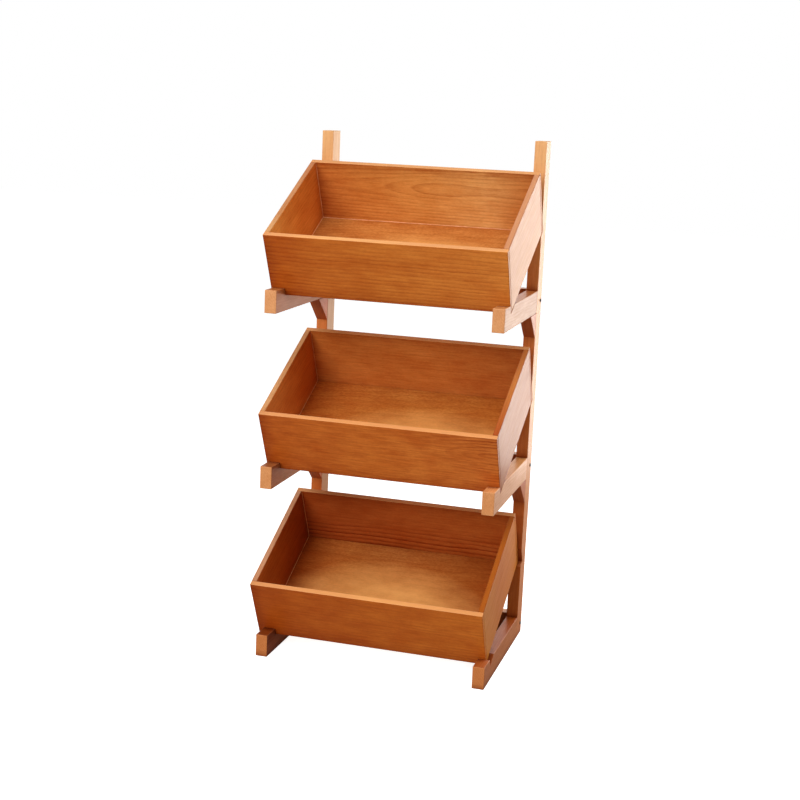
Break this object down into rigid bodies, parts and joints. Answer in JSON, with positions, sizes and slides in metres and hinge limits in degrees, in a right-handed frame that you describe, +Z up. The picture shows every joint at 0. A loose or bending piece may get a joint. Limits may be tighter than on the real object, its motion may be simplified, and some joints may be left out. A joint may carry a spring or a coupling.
{
  "type": "three-tier display stand",
  "caption": "Free-standing wooden display stand: two notched posts with level arms and braces carry open bins that rest tilted forward and lift out.",
  "frame": {"origin": "bottom centre of the bounding box, on the floor", "axes": "+Z up along the posts, -Y the way the bins face, +X to the viewer's right"},
  "size_m": [0.5162, 0.382, 1.1073],
  "materials": {
    "frame_wood": "honey stain, satin varnish",
    "bin_wood": "amber stain, satin varnish",
    "base_wood": "amber stain on thin plywood, satin varnish",
    "screw_steel": "dark plated steel"
  },
  "bodies": {
    "frame": {"arm_lower_left": "frame_wood", "arm_lower_right": "frame_wood", "arm_middle_left": "frame_wood", "arm_middle_right": "frame_wood", "arm_screw_lower_left_high": "screw_steel", "arm_screw_lower_left_low": "screw_steel", "arm_screw_lower_right_high": "screw_steel", "arm_screw_lower_right_low": "screw_steel", "arm_screw_middle_left_high": "screw_steel", "arm_screw_middle_left_low": "screw_steel", "arm_screw_middle_right_high": "screw_steel", "arm_screw_middle_right_low": "screw_steel", "arm_screw_upper_left_high": "screw_steel", "arm_screw_upper_left_low": "screw_steel", "arm_screw_upper_right_high": "screw_steel", "arm_screw_upper_right_low": "screw_steel", "arm_upper_left": "frame_wood", "arm_upper_right": "frame_wood", "brace_middle_left": "frame_wood", "brace_middle_right": "frame_wood", "brace_upper_left": "frame_wood", "brace_upper_right": "frame_wood", "post_left": "frame_wood", "post_right": "frame_wood", "rail_lower": "frame_wood", "rail_middle": "frame_wood", "rail_screw_lower_left": "screw_steel", "rail_screw_lower_right": "screw_steel", "rail_screw_middle_left": "screw_steel", "rail_screw_middle_right": "screw_steel", "rail_screw_upper_left": "screw_steel", "rail_screw_upper_right": "screw_steel", "rail_upper": "frame_wood"},
    "bin_lower": {"bin_lower_back": "bin_wood", "bin_lower_base": "base_wood", "bin_lower_front": "bin_wood", "bin_lower_side_left": "bin_wood", "bin_lower_side_right": "bin_wood"},
    "bin_middle": {"bin_middle_back": "bin_wood", "bin_middle_base": "base_wood", "bin_middle_front": "bin_wood", "bin_middle_side_left": "bin_wood", "bin_middle_side_right": "bin_wood"},
    "bin_upper": {"bin_upper_back": "bin_wood", "bin_upper_base": "base_wood", "bin_upper_front": "bin_wood", "bin_upper_side_left": "bin_wood", "bin_upper_side_right": "bin_wood"}
  },
  "joints": [
    {"name": "bin_lower_lift", "type": "slide", "parent": "frame", "child": "bin_lower", "axis": [0, -0.4478, 0.8942], "range_m": [0, 0.06]},
    {"name": "bin_middle_lift", "type": "slide", "parent": "frame", "child": "bin_middle", "axis": [0, -0.4478, 0.8942], "range_m": [0, 0.06]},
    {"name": "bin_upper_lift", "type": "slide", "parent": "frame", "child": "bin_upper", "axis": [0, -0.4478, 0.8942], "range_m": [0, 0.06]}
  ]
}
